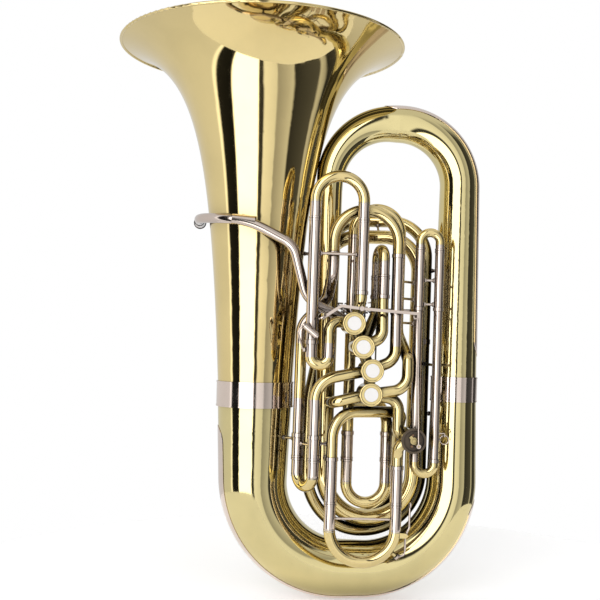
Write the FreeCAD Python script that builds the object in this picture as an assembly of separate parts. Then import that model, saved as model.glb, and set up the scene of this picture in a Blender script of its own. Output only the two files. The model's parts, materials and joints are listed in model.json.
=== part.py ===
import FreeCAD, Part
import math
import os

# Five-valve rotary tuba, bell up, in millimetres. The origin is the lowest point of the bottom bow's
# guard. +Z runs up towards the bell, +Y points to the player and +X runs from the bell side to the top
# bow side. Each piece is written to parts/NAME.step.

os.makedirs("parts", exist_ok=True)

# ---- bell and bows -----------------------------------------------------------------------------
BELL_RADIUS = 254.0
BELL_TOP = 978.0
BELL_LEAN = 0.75
BELL_BASE = (-191.0, 0.0, 358.0)
FLARE_LENGTH = 39.2
FLARE_POWER = 0.48
SHEET = 0.8
BEAD = 2.6
BRANCH_X = 167.0
BRANCH_JOINT_Z = 377.0
BOW_Z = 53.5
FOOT_Z = 1.69
BOW_CORNER = 160.0
BOW_RADII = (66.0, 50.0, 40.0)
TOP_Z = 852.0
TOP_CORNER = 112.0
TOP_START_Z = 744.0
TOP_RADII = (23.0, 33.0, 40.0)
FERRULE_HALF = 22.0
GUARD = 1.05

# ---- inner tubing, all as centre lines ---------------------------------------------------------
TUBE = 9.8
TUBE_WALL = 0.55
LEG_FIT = 0.05
LEG_PROUD = 0.4
FIFTH_TUBE = 7.7
LIMB_X = -64.0
LIMB_TOP_X = -70.0
COIL_Z = 223.0
RIGHT_LEG = (96.0, 0.0)
OUTER_LEG = (115.0, 24.0)
INNER_LEFT = (-73.0, 36.0)
OUTER_LEFT = (-67.0, 62.0)
MIDDLE_LEFT = (-93.5, 0.0)
REAR_BOW_Y = 27.0

# ---- rotary valves -----------------------------------------------------------------------------
VALVES = ((-34.0, 486.5), (-17.5, 447.5), (-1.0, 408.5), (-2.0, 368.5))
FIFTH_VALVE = (72.0, 294.0)
VALVE_Y = -98.0
CASING_HALF = 22.0
CASING_R = 18.5
ROTOR_R = 15.5
RUNNING_FIT = 0.05
SPINDLE_R = 3.0
CAP_R = 19.4
PLATE = 3.0
FRONT_PORT = -109.0
REAR_PORT = -87.0

# ---- valve levers ------------------------------------------------------------------------------
HINGE_Z = 515.0
HINGE_R = 2.5
STOP_ARMS = (12.0, 12.0, 10.0, 12.0)
ARM_SIDES = (-1, 1, 1, 1)
LINK_Y = (-68.0, -66.5, -50.5, -50.5)
LINK_TOP_X = (-3.0, 0.0, 0.0, 8.5)
FRONT_BAR_X = (-40.6, -12.8, 2.2, 22.6)
TOUCH_X = (-40.0, -18.0, 4.0, 26.0)
TOUCH_Y = 78.0
PIN_R = 1.5
PIN_REACH = (-5.4, 5.4, 5.1, -2.4)
EYE_PLAY = 1.1
THUMB_SLOT = 3.4
EYE_R = 3.8
THUMB_PIVOT = (-24.0, 511.0)
THUMB_Y = -135.0
THUMB_LINE = ((-89.0, 493.0), (-58.0, 514.5), (-24.0, 511.0), (71.0, 506.0), (71.0, 501.0))
FIFTH_ARM = 11.0
FIFTH_ARM_REST = -50.0
ARM_NEAR = CASING_HALF + PLATE + 0.4
ARM_FAR = CASING_HALF + PLATE + 2.8

Z_AXIS = FreeCAD.Vector(0, 0, 1)
Y_AXIS = FreeCAD.Vector(0, 1, 0)
X_AXIS = FreeCAD.Vector(1, 0, 0)


def at(x, y, z):
    return FreeCAD.Vector(x, y, z)


def save(name, *solids):
    """Writes one node, a solid or a group of solids, with the guard's lowest point brought to zero."""
    flat = []
    for item in solids:
        flat.extend(item.Solids)
    shape = flat[0] if len(flat) == 1 else Part.makeCompound(flat)
    shape.translate(at(0, 0, -FOOT_Z))
    shape.exportStep(f"parts/{name}.step")
    print(f"{name:22s} solids {len(flat):3d} volume {shape.Volume:10.0f} valid {shape.isValid()}")


def route(stops):
    """Edges and joints of a centre line. A stop is x, y, z, and a corner adds the radius of its bend."""
    points = [at(*stop[:3]) for stop in stops]
    edges = []
    here = points[0]
    heading = (points[1] - points[0]).normalize()
    joints = [(here, heading)]
    for i in range(1, len(points) - 1):
        back = (points[i - 1] - points[i]).normalize()
        ahead = (points[i + 1] - points[i]).normalize()
        radius = stops[i][3]
        half = back.getAngle(ahead) / 2
        reach = radius / math.tan(half)
        start = points[i] + back * reach
        end = points[i] + ahead * reach
        centre = points[i] + (back + ahead).normalize() * (radius / math.sin(half))
        middle = centre + (points[i] - centre).normalize() * radius
        if (start - here).Length > 1e-6:
            edges.append(Part.LineSegment(here, start).toShape())
            joints.append((start, back * -1))
        edges.append(Part.Arc(start, middle, end).toShape())
        joints.append((end, ahead))
        here = end
    if (points[-1] - here).Length > 1e-6:
        edges.append(Part.LineSegment(here, points[-1]).toShape())
        joints.append((points[-1], (points[-1] - here).normalize()))
    return edges, joints


def ring_face(radius, inner, centre, normal):
    """A flat ring, or a disc where inner is 0."""
    outline = Part.Wire([Part.makeCircle(radius, centre, normal)])
    if not inner:
        return Part.Face(outline)
    hole = Part.Wire([Part.makeCircle(inner, centre, normal)])
    return Part.makeFace([outline, hole], "Part::FaceMakerBullseye")


def tube(stops, radius=TUBE, wall=TUBE_WALL):
    """A round tube of even size along a centre line; wall 0 makes a solid bar."""
    edges, joints = route(stops)
    inner = radius - wall if wall else 0
    return Part.Wire(edges).makePipe(ring_face(radius, inner, joints[0][0], joints[0][1]))


def swept(stops, start_profile, end_profile):
    """A solid swept along a centre line from one outline to another."""
    shell = Part.BRepOffsetAPI.MakePipeShell(Part.Wire(route(stops)[0]))
    shell.setFrenetMode(True)
    shell.add(start_profile, False, False)
    shell.add(end_profile, False, False)
    shell.build()
    shell.makeSolid()
    return shell.shape()


def tapered_bar(stops, radii):
    """A solid bar whose radius changes evenly from start to end."""
    joints = route(stops)[1]
    outlines = [Part.Wire([Part.makeCircle(radius, point, heading)])
                for radius, (point, heading) in zip(radii, (joints[0], joints[-1]))]
    return swept(stops, *outlines)


def tapered_tube(stops, radii, wall=SHEET):
    """The hollow form of tapered_bar."""
    return tapered_bar(stops, radii).cut(tapered_bar(stops, [radius - wall for radius in radii]))


def strip_outline(centre, heading, outward, radius, half_width):
    """Closed outline of a thin strip that hugs the outer side of a round tube."""
    side = heading.cross(outward).normalize()
    half = math.asin(half_width / radius)
    arcs = []
    ends = []
    for r in (radius + GUARD, radius + 0.25):
        corners = [centre + outward * (r * math.cos(turn)) + side * (r * math.sin(turn))
                   for turn in (-half, 0.0, half)]
        arcs.append(Part.Arc(*corners).toShape())
        ends.append((corners[0], corners[2]))
    sides = [Part.LineSegment(a, b).toShape() for a, b in zip(*ends)]
    return Part.Wire([arcs[0], sides[1], arcs[1], sides[0]])


def cylinder(radius, start, end, inner=0.0):
    """A rod, or a sleeve where inner is given, between two points."""
    start = at(*start)
    axis = at(*end) - start
    rod = Part.makeCylinder(radius, axis.Length, start, axis)
    if inner:
        rod = rod.cut(Part.makeCylinder(inner, axis.Length, start, axis))
    return rod


def trimmed(shape, others):
    """shape less the others, keeping its largest solid."""
    left = shape.cut(Part.makeCompound(others))
    return max(left.Solids, key=lambda solid: solid.Volume)


def slab(points, y_front, y_back):
    """A plate with an outline in X and Z, from y_front to y_back."""
    corners = [at(x, y_front, z) for x, z in points]
    outline = Part.makePolygon(corners + [corners[0]])
    return Part.Face(outline).extrude(at(0, y_back - y_front, 0))


# ---- bell --------------------------------------------------------------------------------------
def bell_radius(drop):
    """Outer radius of the bell at a distance below its rim."""
    return (BELL_RADIUS - BEAD / 2) * (FLARE_LENGTH / (drop + FLARE_LENGTH)) ** FLARE_POWER


def placed_on_bell(shape):
    """Turns a shape made about the Z axis, zero at the bell's base, on to the leaning bell axis."""
    shape.rotate(at(0, 0, 0), Y_AXIS, -BELL_LEAN)
    shape.translate(at(*BELL_BASE))
    return shape


def bell_solid(offset):
    """The inside of the bell's outer face, moved in by offset, as a filled shape."""
    height = BELL_TOP - BELL_BASE[2]
    top = height - BEAD
    points = []
    steps = 26
    for i in range(steps + 1):
        drop = top * (i / steps) ** 1.9
        points.append(at(bell_radius(drop) - offset, 0, top - drop))
    curve = Part.BSplineCurve()
    curve.interpolate(points)
    upper, lower = points[0], points[-1]
    outline = Part.Wire([
        curve.toShape(),
        Part.LineSegment(lower, at(0, 0, lower.z)).toShape(),
        Part.LineSegment(at(0, 0, lower.z), at(0, 0, upper.z)).toShape(),
        Part.LineSegment(at(0, 0, upper.z), upper).toShape(),
    ])
    return Part.Face(outline).revolve(at(0, 0, 0), Z_AXIS, 360)


def build_bell():
    """The flared bell with its rolled rim."""
    flare = bell_solid(0).cut(bell_solid(SHEET))
    height = BELL_TOP - BELL_BASE[2]
    bead = Part.makeTorus(BELL_RADIUS - BEAD, BEAD, at(0, 0, height - BEAD))
    bell = placed_on_bell(flare.fuse(bead))
    save("bell", bell)


def bell_ferrule():
    """The ringed ferrule that joins the bell to the bottom bow."""
    sleeve = Part.makeCylinder(68.0, 2 * FERRULE_HALF, at(0, 0, -FERRULE_HALF))
    for edge_z in (-FERRULE_HALF, FERRULE_HALF - 2.4):
        sleeve = sleeve.fuse(Part.makeCylinder(68.7, 2.4, at(0, 0, edge_z)))
    core = Part.makeCylinder(66.85, 4 * FERRULE_HALF, at(0, 0, -2 * FERRULE_HALF))
    return placed_on_bell(sleeve.cut(core))


def bell_axis_x(z):
    return BELL_BASE[0] - (z - BELL_BASE[2]) * math.tan(math.radians(BELL_LEAN))


# ---- bows --------------------------------------------------------------------------------------
BOW_MIDDLE = 0.5 * (BELL_BASE[0] + BRANCH_X)
BOTTOM_BOW = (
    ((BELL_BASE[0], 0, BELL_BASE[2]), (bell_axis_x(BOW_Z), 0, BOW_Z, BOW_CORNER), (BOW_MIDDLE, 0, BOW_Z)),
    ((BOW_MIDDLE, 0, BOW_Z), (BRANCH_X, 0, BOW_Z, BOW_CORNER), (BRANCH_X, 0, BRANCH_JOINT_Z)),
)
TOP_MIDDLE = 0.5 * (LIMB_TOP_X + BRANCH_X)
TOP_BOW = (
    ((LIMB_TOP_X, 0, TOP_START_Z - 20), (LIMB_TOP_X, 0, TOP_Z, TOP_CORNER), (TOP_MIDDLE, 0, TOP_Z)),
    ((TOP_MIDDLE, 0, TOP_Z), (BRANCH_X, 0, TOP_Z, TOP_CORNER), (BRANCH_X, 0, BRANCH_JOINT_Z)),
)


def bow_bar(bow, radii, grow=0.0):
    """A solid bar along both halves of a bow, with its radius at the start, middle and end."""
    low, middle, high = [radius + grow for radius in radii]
    return [tapered_bar(bow[0], (low, middle)), tapered_bar(bow[1], (middle, high))]


def bow_tube(bow, radii):
    low, middle, high = radii
    return tapered_tube(bow[0], (low, middle)).fuse(tapered_tube(bow[1], (middle, high)))


def guard_strip(stops, radii, half_widths, outward):
    """A guard over one half of a bow; outward is its outer side at both ends."""
    joints = route(stops)[1]
    outlines = []
    for place, radius, half_width, out in zip((joints[0], joints[-1]), radii, half_widths, outward):
        outlines.append(strip_outline(*place, out, radius, half_width))
    return swept(stops, *outlines)


def rounded_end(shape, axis, tip, half_width, sign):
    """Cuts a strip to a round end; axis is the direction that it runs in, tip the end's centre."""
    big = 400.0
    if axis == "z":
        box = Part.makeBox(big, big, big, at(-big / 2, -big / 2, 0 if sign > 0 else -big))
        box.translate(at(*tip))
        keep = Part.makeCylinder(half_width, big, at(tip[0] - big / 2, tip[1], tip[2]), X_AXIS)
    else:
        box = Part.makeBox(big, big, big, at(0 if sign > 0 else -big, -big / 2, -big / 2))
        box.translate(at(*tip))
        keep = Part.makeCylinder(half_width, big, at(tip[0], tip[1], tip[2] - big / 2), Z_AXIS)
    return shape.cut(box.cut(keep))


def build_bows():
    """The bottom and top bows, their ferrule and their guards."""
    save("bottom_bow", bow_tube(BOTTOM_BOW, BOW_RADII))
    save("top_bow", bow_tube(TOP_BOW, TOP_RADII))
    low = BRANCH_JOINT_Z - FERRULE_HALF
    high = BRANCH_JOINT_Z + FERRULE_HALF
    sleeve = cylinder(41.6, (BRANCH_X, 0, low), (BRANCH_X, 0, high), 40.5)
    for z in (low, high - 2.4):
        sleeve = sleeve.fuse(cylinder(42.2, (BRANCH_X, 0, z), (BRANCH_X, 0, z + 2.4), 40.5))
    save("bow_ferrules", bell_ferrule(), sleeve)

    start, middle, end = BOW_RADII
    left = guard_strip(BOTTOM_BOW[0], (start, middle), (31.0, 29.0), (X_AXIS * -1, Z_AXIS * -1))
    right = guard_strip(BOTTOM_BOW[1], (middle, end), (29.0, 26.0), (Z_AXIS * -1, X_AXIS))
    left = rounded_end(left, "z", (-200, 0, 270), 31.0, 1)
    right = rounded_end(right, "z", (BRANCH_X, 0, 153), 28.0, 1)
    save("bottom_bow_guard", left.fuse(right))

    start, middle, end = TOP_RADII
    left = guard_strip(TOP_BOW[0], (start, middle), (17.0, 24.0), (X_AXIS * -1, Z_AXIS))
    left = rounded_end(left, "x", (48.0, 0, TOP_Z), 24.0, -1)
    right = guard_strip(TOP_BOW[1], (middle, end), (24.0, 26.0), (Z_AXIS, X_AXIS))
    right = rounded_end(right, "z", (BRANCH_X, 0, 462), 26.0, -1)
    right = rounded_end(right, "x", (48.0, 0, TOP_Z), 24.0, -1)
    save("top_bow_guard", max(left.fuse(right).Solids, key=lambda solid: solid.Volume))


# ---- coil of inner tubing ----------------------------------------------------------------------
HALF_COIL = (RIGHT_LEG[0] - LIMB_X) / 2
FIRST_BRANCH = ((LIMB_X, 0, COIL_Z), (LIMB_TOP_X, 0, TOP_START_Z - 20))
INNER_BOW = (
    (RIGHT_LEG[0], 0, COIL_Z),
    (RIGHT_LEG[0], 0, COIL_Z - HALF_COIL, HALF_COIL - 0.01),
    (LIMB_X, 0, COIL_Z - HALF_COIL, HALF_COIL - 0.01),
    (LIMB_X, 0, COIL_Z),
)
INNER_ARCH = (
    (MIDDLE_LEFT[0], MIDDLE_LEFT[1], COIL_Z + 2),
    (MIDDLE_LEFT[0], MIDDLE_LEFT[1], 262.0, 200.0),
    (-92.0, 27.0, 350.0, 120.0),
    (INNER_LEFT[0], INNER_LEFT[1], 446.0, 120.0),
    (INNER_LEFT[0], INNER_LEFT[1], 647.0, 62.0),
    (RIGHT_LEG[0], RIGHT_LEG[1], 647.0, 62.0),
    (RIGHT_LEG[0], RIGHT_LEG[1], COIL_Z),
)
MIDDLE_BOW = (
    (OUTER_LEG[0], OUTER_LEG[1], COIL_Z + 2),
    (OUTER_LEG[0], OUTER_LEG[1], 119.0, 103.0),
    (MIDDLE_LEFT[0], MIDDLE_LEFT[1], 119.0, 103.0),
    (MIDDLE_LEFT[0], MIDDLE_LEFT[1], COIL_Z + 2),
)
OUTER_ARCH = (
    (LIMB_X, REAR_BOW_Y, COIL_Z),
    (LIMB_X, REAR_BOW_Y + 3, COIL_Z + 60, 200.0),
    (OUTER_LEFT[0], OUTER_LEFT[1], 440.0, 300.0),
    (OUTER_LEFT[0], OUTER_LEFT[1], 679.0, 66.0),
    (OUTER_LEG[0], OUTER_LEG[1], 679.0, 66.0),
    (OUTER_LEG[0], OUTER_LEG[1], COIL_Z + 2),
)
REAR_BOW = (
    (66.0, REAR_BOW_Y, COIL_Z + 14),
    (66.0, REAR_BOW_Y, 145.0, 64.0),
    (LIMB_X, REAR_BOW_Y, 145.0, 64.0),
    (LIMB_X, REAR_BOW_Y, COIL_Z),
)
MAIN_LEFT = (-62.0, -100.0)
MAIN_RIGHT = (49.5, -100.0)
RETURN_ARCH = (
    (MAIN_LEFT[0], MAIN_LEFT[1], 261.0),
    (MAIN_LEFT[0], MAIN_LEFT[1] + 2, 337.0, 44.0),
    (62.0, -62.0, 337.0, 24.0),
    (66.0, REAR_BOW_Y, 262.0, 24.0),
    (66.0, REAR_BOW_Y, COIL_Z + 14),
)


def build_coil():
    """The tubes that coil behind the valves, from the main slide to the top bow."""
    save("first_branch", tapered_tube(FIRST_BRANCH, (14.8, 23.0), TUBE_WALL))
    save("inner_bottom_bow", tapered_tube(INNER_BOW, (14.0, 14.8), TUBE_WALL))
    save("inner_arch", tapered_tube(INNER_ARCH, (10.7, 14.0), TUBE_WALL))
    save("middle_bottom_bow", tube(MIDDLE_BOW, 10.7))
    save("outer_arch", tube(OUTER_ARCH, 10.7))
    save("rear_bottom_bow", tapered_tube(REAR_BOW, (TUBE, 10.7), TUBE_WALL))
    save("return_arch", tube(RETURN_ARCH))


# ---- slides ------------------------------------------------------------------------------------
# name: the two legs, the height where the bow starts, the end of the sleeve, the far ends of the
# fixed outer legs, the radius of the tube, the length of the inner legs
SLIDES = {
    "first_slide": ((-104.5, -118.0), (-23.0, -118.0), 692.0, 663.0, (450.0, 535.0), TUBE, 62.0),
    "second_slide": ((17.0, -98.0), (11.0, -66.0), 598.0, 571.0, (531.0, 531.0), TUBE, 34.0),
    "third_slide": ((-92.5, -98.0), (-116.5, -60.0), 231.0, 251.0, (296.0, 296.0), TUBE, 40.0),
    "fourth_slide": ((-28.5, -40.0), (40.0, -40.0), 211.0, 248.0, (300.0, 300.0), TUBE, 46.0),
    "main_tuning_slide": (MAIN_LEFT, MAIN_RIGHT, 142.5, 180.0, (261.0, 249.0), TUBE, 64.0),
    "fifth_slide": ((80.0, -92.0), (114.0, -92.0), 630.0, 620.0, (513.0, 513.0), FIFTH_TUBE, 90.0),
}


def slide_pieces(name):
    """The moving slide and its two fixed outer legs."""
    left, right, bow_z, sleeve_z, leg_ends, radius, reach = SLIDES[name]
    up = 1 if bow_z > sleeve_z else -1
    half = math.dist(left, right) / 2
    top = bow_z + up * half
    bend = half - 0.01
    crook = tube(((*left, sleeve_z), (*left, top, bend), (*right, top, bend), (*right, sleeve_z)), radius)
    inner_r = radius - TUBE_WALL
    moving = crook
    fixed = []
    for leg, far in ((left, leg_ends[0]), (right, leg_ends[1])):
        start = (*leg, sleeve_z + up * 8)
        end = (*leg, sleeve_z - up * reach)
        moving = moving.fuse(cylinder(inner_r, start, end, inner_r - TUBE_WALL))
        outer_r = radius + LEG_PROUD
        mouth = (*leg, sleeve_z - up * 0.3)
        sleeve = cylinder(outer_r, mouth, (*leg, far), inner_r + LEG_FIT)
        for step in (0.0, 4.2):
            low = (*leg, mouth[2] - up * step)
            high = (*leg, mouth[2] - up * (step + 2.6))
            sleeve = sleeve.fuse(cylinder(outer_r + 0.7, low, high, outer_r - 0.1))
        fixed.append(sleeve)
    return moving, fixed


def build_slides():
    """Every pull slide, and one node for the fixed legs that guide them."""
    legs = []
    for name in SLIDES:
        moving, fixed = slide_pieces(name)
        if name == "main_tuning_slide":
            rod = cylinder(2.2, (*MAIN_LEFT, 159.0), (*MAIN_RIGHT, 159.0))
            bores = [cylinder(TUBE - 0.1, (*leg, 140.0), (*leg, 178.0)) for leg in (MAIN_LEFT, MAIN_RIGHT)]
            moving = moving.fuse(trimmed(rod, bores))
            save(name, moving, main_key_saddle())
        else:
            save(name, moving)
        legs.extend(fixed)
    save("slide_outer_legs", *legs)


# ---- valves ------------------------------------------------------------------------------------
def casing_core(centre, grow=0.0):
    x, z = centre
    radius = CASING_R + grow
    start = (x, VALVE_Y - CASING_HALF - 8, z)
    return cylinder(radius, start, (x, VALVE_Y + CASING_HALF + 8, z))


def end_at(centre, y):
    return (centre[0], y, centre[1])


FIRST_V, SECOND_V, THIRD_V, FOURTH_V = VALVES
KNUCKLES = (
    (end_at(FIRST_V, VALVE_Y), end_at(SECOND_V, VALVE_Y)),
    (end_at(SECOND_V, VALVE_Y), end_at(THIRD_V, VALVE_Y)),
    (end_at(THIRD_V, VALVE_Y), end_at(FOURTH_V, VALVE_Y)),
)
FIRST_LOOP = (
    ((-104.5, -118, 450), (-104.5, -118, 431 - 15.0, 14.7), (-75, -118, 431 - 15.0, 14.7),
     (-75, -118, 489, 17.0), (-56, -110, 488, 12.0), end_at(FIRST_V, -109)),
    ((-23, -118, 535), (-23, -118, 530, 10.0), (-25.5, -109.5, 508, 14.0), end_at(FIRST_V, -109)),
)
SECOND_LOOP = (
    ((17, -98, 531), (17, -98, 519, 30.0), (17, -105, 464, 22.0), end_at(SECOND_V, FRONT_PORT)),
    ((11, -66, 531), (11, -66, 505, 24.0), end_at(SECOND_V, -97)),
)
THIRD_LOOP = (
    (end_at(THIRD_V, VALVE_Y), (41, VALVE_Y, 427, 26.0), (41, VALVE_Y, 680, 55.2),
     (-69.5, VALVE_Y, 680, 55.2), (-69.5, VALVE_Y, 572, 40.0), (-75, -62, 527, 26.0),
     (-116.5, -60, 482, 36.0), (-116.5, -60, 296)),
    (end_at(THIRD_V, VALVE_Y), (-92.5, VALVE_Y, 388, 40.0), (-92.5, VALVE_Y, 296)),
)
FOURTH_LOOP = (
    (end_at(FOURTH_V, FRONT_PORT), (61, FRONT_PORT, 379, 28.0), (62, -105, 428, 14.0), (54, -40, 474, 24.0),
     (54, -40, 690, 41.2), (-28.5, -40, 690, 41.2), (-28.5, -40, 300)),
    (end_at(FOURTH_V, VALVE_Y), (-62, VALVE_Y, 352, 14.0), (-62, -36, 350, 14.0), (-24, -11, 349, 60.0),
     (30, -12, 349, 17.0), (40, -40, 322, 20.0), (40, -40, 300)),
)
MAIN_LINE = (
    (end_at(FOURTH_V, REAR_PORT), (51, -89, 359, 22.0), (51, -89, 303, 16.0), end_at(FIFTH_VALVE, REAR_PORT)),
    (end_at(FIFTH_VALVE, -110), (49.5, -106, 283, 14.0), (*MAIN_RIGHT, 268, 60.0), (*MAIN_RIGHT, 249)),
)
FIFTH_LOOP = (
    (end_at((80, FIFTH_VALVE[1]), -92), (80, -92, 513)),
    (end_at((80, FIFTH_VALVE[1]), -92), (80, -92, 236, 16.9), (114, -92, 236, 16.9), (114, -92, 513)),
)
LEADPIPE = (
    (-301, 22, 663), (-301, -103, 659, 96.0), (-215, -103, 653, 150.0), (-139, -101, 616, 40.0),
    (-113, -95, 526, 46.0), end_at(FIRST_V, -88),
)
LEADPIPE_R = 8.4


def port_bars(valve):
    """Solid bars along every tube that enters a valve, used to open its ports."""
    runs = {
        0: FIRST_LOOP + (KNUCKLES[0],),
        1: SECOND_LOOP + (KNUCKLES[0], KNUCKLES[1]),
        2: THIRD_LOOP + (KNUCKLES[1], KNUCKLES[2]),
        3: FOURTH_LOOP + (KNUCKLES[2], MAIN_LINE[0]),
        4: MAIN_LINE,
    }
    bars = [tube(stops, TUBE - TUBE_WALL, 0) for stops in runs[valve]]
    if valve == 0:
        bars.append(tube(LEADPIPE, LEADPIPE_R - TUBE_WALL, 0))
    if valve == 4:
        bars.extend(tube(stops, FIFTH_TUBE - TUBE_WALL, 0) for stops in FIFTH_LOOP)
    return bars


def build_tubing():
    """The fixed tubes between the valves, their slides and the leadpipe."""
    groups = {
        "first_valve_tubes": (FIRST_LOOP, (FIRST_V,), TUBE),
        "second_valve_tubes": (SECOND_LOOP, (SECOND_V,), TUBE),
        "third_valve_tubes": (THIRD_LOOP, (THIRD_V,), TUBE),
        "fourth_valve_tubes": (FOURTH_LOOP, (FOURTH_V,), TUBE),
        "main_valve_line": (MAIN_LINE, (FOURTH_V, FIFTH_VALVE), TUBE),
        "fifth_valve_tubes": (FIFTH_LOOP, (FIFTH_VALVE,), FIFTH_TUBE),
        "valve_knuckles": (KNUCKLES, VALVES, TUBE),
    }
    for name, (runs, valves, radius) in groups.items():
        cores = [casing_core(valve, 0.02) for valve in valves]
        if name == "second_valve_tubes":
            cores.append(tube(KNUCKLES[0], TUBE + 0.02, 0))
        save(name, *[trimmed(tube(stops, radius), cores) for stops in runs])
    save("leadpipe", trimmed(tube(LEADPIPE, LEADPIPE_R), [casing_core(FIRST_V, 0.02)]))

    mouth = at(-301, 64, 664.3)
    seat = at(*LEADPIPE[0])
    axis = (mouth - seat).normalize()
    length = (mouth - seat).Length
    body = Part.makeCone(LEADPIPE_R + 0.8, LEADPIPE_R + 2.2, length, seat, axis)
    collar = Part.makeCylinder(LEADPIPE_R + 3.0, 5.0, mouth - axis * 5.0, axis)
    socket = Part.makeCylinder(6.8, 16.0, mouth - axis * 16.0, axis)
    throat = Part.makeCone(7.6, 6.8, length - 16.0, seat, axis)
    save("mouthpiece_receiver", body.fuse(collar).cut(socket).cut(throat))


def valve_along(centre, facing):
    """Point at a distance along a valve's axis from its middle, towards its lever side."""
    x, z = centre
    return lambda distance: (x, VALVE_Y + facing * distance, z)


def build_casing(number, centre, facing):
    """A casing open at both ends, with a port for every tube."""
    along = valve_along(centre, facing)
    barrel = cylinder(CASING_R, along(-CASING_HALF), along(CASING_HALF), ROTOR_R + RUNNING_FIT)
    for bar in port_bars(number):
        barrel = barrel.cut(bar)
    save(f"valve_casing_{number + 1}", max(barrel.Solids, key=lambda solid: solid.Volume))


def rotor_plug(centre, facing):
    """The rotor, with its two passages and its spindle."""
    along = valve_along(centre, facing)
    plug = cylinder(ROTOR_R, along(0.6 - CASING_HALF), along(CASING_HALF - 0.6))
    for side in (-1, 1):
        start = at(centre[0] + side * 14.0, VALVE_Y, centre[1] - 40)
        plug = plug.cut(Part.makeCylinder(8.2, 80, start, Z_AXIS))
    plug = plug.fuse(cylinder(SPINDLE_R, along(-CASING_HALF - 2.2), along(CASING_HALF)))
    plug = plug.fuse(cylinder(SPINDLE_R, along(0), along(CASING_HALF + PLATE + 3.6)))
    return plug


def build_rotor(number, centre, facing, angle, radius, pin_end):
    """A rotor with its stop arm, stop lug and the pin that the link turns on."""
    along = valve_along(centre, facing)
    hub = cylinder(6.0, along(ARM_NEAR), along(ARM_FAR))
    reach = math.radians(angle)
    pin_x = centre[0] + radius * math.cos(reach)
    pin_z = centre[1] + radius * math.sin(reach)
    across = at(-math.sin(reach), 0, math.cos(reach)) * 2.6
    length = at(math.cos(reach), 0, math.sin(reach))
    y_low = along(ARM_NEAR)[1]
    y_high = along(ARM_FAR)[1]
    root = at(centre[0], y_low, centre[1])
    for start, end in ((0.0, radius), (0.0, -9.5)):
        near = root + length * start
        far = root + length * end
        outline = [near + across, far + across, far - across, near - across, near + across]
        arm = Part.Face(Part.makePolygon(outline)).extrude(at(0, y_high - y_low, 0))
        hub = hub.fuse(arm)
    hub = hub.fuse(cylinder(2.6, (pin_x, y_low, pin_z), (pin_x, y_high, pin_z)))
    hub = hub.fuse(cylinder(PIN_R, (pin_x, y_low, pin_z), (pin_x, pin_end, pin_z)))
    hub = hub.cut(cylinder(SPINDLE_R, along(0), along(CASING_HALF + 20)))
    save(f"rotor_{number + 1}", rotor_plug(centre, facing), hub)
    return pin_x, pin_z


def build_valves():
    """Casings, rotors, caps, bearing plates, cork stops and stop arms."""
    caps = []
    plates = []
    corks = []
    for number, centre in enumerate(VALVES + (FIFTH_VALVE,)):
        facing = -1 if number == 4 else 1
        along = valve_along(centre, facing)
        build_casing(number, centre, facing)
        cap = cylinder(CAP_R, along(-CASING_HALF - 0.02), along(-CASING_HALF - 5.0))
        cap = cap.cut(cylinder(SPINDLE_R + RUNNING_FIT, along(-CASING_HALF), along(-CASING_HALF - 2.4)))
        cap = cap.cut(cylinder(11.6, along(-CASING_HALF - 4.0), along(-CASING_HALF - 5.0)))
        rim = Part.makeTorus(CAP_R - 1.6, 1.6, at(*along(-CASING_HALF - 5.0)), Y_AXIS)
        caps.append(cap.fuse(rim))
        caps.append(cylinder(11.5, along(-CASING_HALF - 4.02), along(-CASING_HALF - 6.2)))
        plate = cylinder(CASING_R, along(CASING_HALF + 0.02), along(CASING_HALF + PLATE))
        plates.append(plate.cut(cylinder(SPINDLE_R + RUNNING_FIT, along(0), along(CASING_HALF + 9))))
        if number == 4:
            rest = FIFTH_ARM_REST
            guard = cylinder(21.0, along(CASING_HALF + PLATE + 0.02), along(CASING_HALF + PLATE + 4.0), 17.5)
            plates.append(guard)
        else:
            rest = -45.0 if ARM_SIDES[number] > 0 else 225.0
        sweep = 90.0 if rest < 180 else -90.0
        lug = rest + 180.0
        step = 30.0 * (1 if sweep > 0 else -1)
        for angle in (lug - step, lug + sweep + step):
            turn = math.radians(angle)
            spot = (centre[0] + 9.6 * math.cos(turn), centre[1] + 9.6 * math.sin(turn))
            near = (spot[0], along(CASING_HALF + PLATE + 0.02)[1], spot[1])
            far = (spot[0], along(ARM_FAR)[1], spot[1])
            corks.append(cylinder(1.9, near, far))
    save("valve_caps", *caps)
    save("bearing_plates", *plates)
    save("stop_corks", *corks)


# ---- levers ------------------------------------------------------------------------------------
def link_rod(bottom, top, bend, y):
    """A link: an eye on the stop arm's pin and a rod up to the lever, with one gentle jog if wanted."""
    stops = [(bottom[0], y, bottom[1])]
    if abs(bend) > 5:
        stops.append((bottom[0], y, bottom[1] + 12, 8.0))
        stops.append((top[0], y, bottom[1] + 30, 8.0))
    stops.append((top[0], y, top[1]))
    rod = tube(stops, 1.4, 0)
    eye = cylinder(EYE_R, (bottom[0], y - 1.5, bottom[1]), (bottom[0], y + 1.5, bottom[1]))
    return rod.fuse(eye)


def link_bore(bottom, y):
    return cylinder(PIN_R + RUNNING_FIT, (bottom[0], y - 9, bottom[1]), (bottom[0], y + 9, bottom[1]))


def finger_link(bottom, top, bend, y):
    """A link whose upper eye slides along the lever's crosswise pin as the stop arm swings."""
    start = (top[0] - 1.4, y, top[1])
    eye = cylinder(EYE_R + 0.6, start, (top[0] + 1.4, y, top[1]))
    bore = cylinder(PIN_R + EYE_PLAY, (top[0] - 20, y, top[1]), (top[0] + 20, y, top[1]))
    return link_rod(bottom, top, bend, y).fuse(eye).cut(Part.makeCompound([bore, link_bore(bottom, y)]))


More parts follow.
